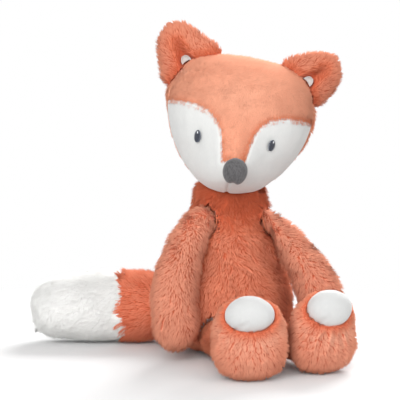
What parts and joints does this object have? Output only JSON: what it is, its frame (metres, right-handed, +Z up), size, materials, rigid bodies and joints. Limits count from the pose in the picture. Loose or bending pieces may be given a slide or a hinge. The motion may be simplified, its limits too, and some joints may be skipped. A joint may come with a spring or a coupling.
{
  "type": "plush toy",
  "caption": "Seated plush fox with furry torso, arms, legs and tail, a white velour face, padded nose, cupped ears and white toes; head, ears, limbs and tail turn where they are sewn.",
  "frame": {"origin": "middle of the flat seat under the torso, on the surface that the toy sits on", "axes": "+Z up, -Y to the front of the torso, +X to the toy's left"},
  "size_m": [0.2691, 0.2502, 0.294],
  "materials": {
    "coral_fur": "plush pile",
    "white_fur": "fluffy pile",
    "white_velour": "velour",
    "grey_velour": "velour",
    "navy_embroidery": "satin stitch",
    "rust_thread": "twisted thread",
    "polyester_filling": "loose fibre",
    "pellet_cloth": "woven cloth"
  },
  "bodies": {
    "torso": {"torso_skin": "coral_fur", "torso_stuffing": "polyester_filling", "pellet_bag": "pellet_cloth"},
    "neck": {"neck_drawstring": "rust_thread"},
    "head": {"head_back": "coral_fur", "head_crown": "coral_fur", "cheek_right": "white_velour", "cheek_left": "white_velour", "head_stuffing": "polyester_filling", "nose": "grey_velour", "eye_right": "navy_embroidery", "eye_left": "navy_embroidery"},
    "tail_root": {"tail_thread": "rust_thread"},
    "tail": {"tail_base": "coral_fur", "tail_tip": "white_fur"},
    "ear_right": {"ear_right_back": "coral_fur", "ear_right_lining": "white_velour"},
    "ear_left": {"ear_left_back": "coral_fur", "ear_left_lining": "white_velour"},
    "shoulder_right": {"shoulder_thread_right": "rust_thread"},
    "arm_right": {"arm_right": "coral_fur"},
    "shoulder_left": {"shoulder_thread_left": "rust_thread"},
    "arm_left": {"arm_left": "coral_fur"},
    "hip_right": {"hip_thread_right": "rust_thread"},
    "leg_right": {"leg_right": "coral_fur", "foot_right": "coral_fur", "toe_right": "white_velour"},
    "hip_left": {"hip_thread_left": "rust_thread"},
    "leg_left": {"leg_left": "coral_fur", "foot_left": "coral_fur", "toe_left": "white_velour"}
  },
  "joints": [
    {"name": "neck_turn", "type": "hinge", "parent": "torso", "child": "neck", "pos_m": [0.001, 0.003, 0.141], "axis": [0, 0, 1], "range_deg": [-35, 40], "stiffness_Nm_per_rad": 0.4},
    {"name": "neck_nod", "type": "hinge", "parent": "neck", "child": "head", "pos_m": [0.001, 0.003, 0.141], "axis": [-0.9659, 0.259, 0], "range_deg": [-12, 20], "stiffness_Nm_per_rad": 0.8},
    {"name": "ear_fold_right", "type": "hinge", "parent": "head", "child": "ear_right", "pos_m": [-0.0305, 0.01318, 0.24824], "axis": [-0.8093, 0.3549, -0.4681], "range_deg": [-15, 15], "stiffness_Nm_per_rad": 0.05},
    {"name": "ear_fold_left", "type": "hinge", "parent": "head", "child": "ear_left", "pos_m": [0.05301, -0.0105, 0.23377], "axis": [0.6062, -0.0539, -0.7935], "range_deg": [-15, 15], "stiffness_Nm_per_rad": 0.05},
    {"name": "shoulder_swing_right", "type": "hinge", "parent": "torso", "child": "shoulder_right", "pos_m": [-0.033, -0.016, 0.121], "axis": [-0.8529, -0.4535, 0.2588], "range_deg": [-25, 0], "stiffness_Nm_per_rad": 0.2},
    {"name": "shoulder_lift_right", "type": "hinge", "parent": "shoulder_right", "child": "arm_right", "pos_m": [-0.033, -0.016, 0.121], "axis": [-0.4695, 0.8829, 0], "range_deg": [0, 75], "stiffness_Nm_per_rad": 0.2},
    {"name": "shoulder_swing_left", "type": "hinge", "parent": "torso", "child": "shoulder_left", "pos_m": [0.033, -0.016, 0.121], "axis": [-0.8529, 0.4535, -0.2588], "range_deg": [-45, 0], "stiffness_Nm_per_rad": 0.2},
    {"name": "shoulder_lift_left", "type": "hinge", "parent": "shoulder_left", "child": "arm_left", "pos_m": [0.033, -0.016, 0.121], "axis": [-0.4695, -0.8829, 0], "range_deg": [0, 75], "stiffness_Nm_per_rad": 0.2},
    {"name": "hip_roll_right", "type": "hinge", "parent": "torso", "child": "hip_right", "pos_m": [-0.025, -0.041, 0.0195], "axis": [0, -1, 0], "range_deg": [0, 30], "stiffness_Nm_per_rad": 0.2},
    {"name": "hip_raise_right", "type": "hinge", "parent": "hip_right", "child": "leg_right", "pos_m": [-0.025, -0.041, 0.0195], "axis": [-1, 0, 0], "range_deg": [-40, 20], "stiffness_Nm_per_rad": 0.2},
    {"name": "hip_roll_left", "type": "hinge", "parent": "torso", "child": "hip_left", "pos_m": [0.025, -0.041, 0.0195], "axis": [0, 1, 0], "range_deg": [0, 30], "stiffness_Nm_per_rad": 0.2},
    {"name": "hip_raise_left", "type": "hinge", "parent": "hip_left", "child": "leg_left", "pos_m": [0.025, -0.041, 0.0195], "axis": [-1, 0, 0], "range_deg": [-40, 20], "stiffness_Nm_per_rad": 0.2},
    {"name": "tail_turn", "type": "hinge", "parent": "torso", "child": "tail_root", "pos_m": [-0.03, 0.042, 0.0325], "axis": [-0.5812, 0.8137, 0], "range_deg": [0, 40], "stiffness_Nm_per_rad": 0.2},
    {"name": "tail_swing", "type": "hinge", "parent": "tail_root", "child": "tail", "pos_m": [-0.03, 0.042, 0.0325], "axis": [0, 0, -1], "range_deg": [0, 60], "stiffness_Nm_per_rad": 0.2}
  ]
}
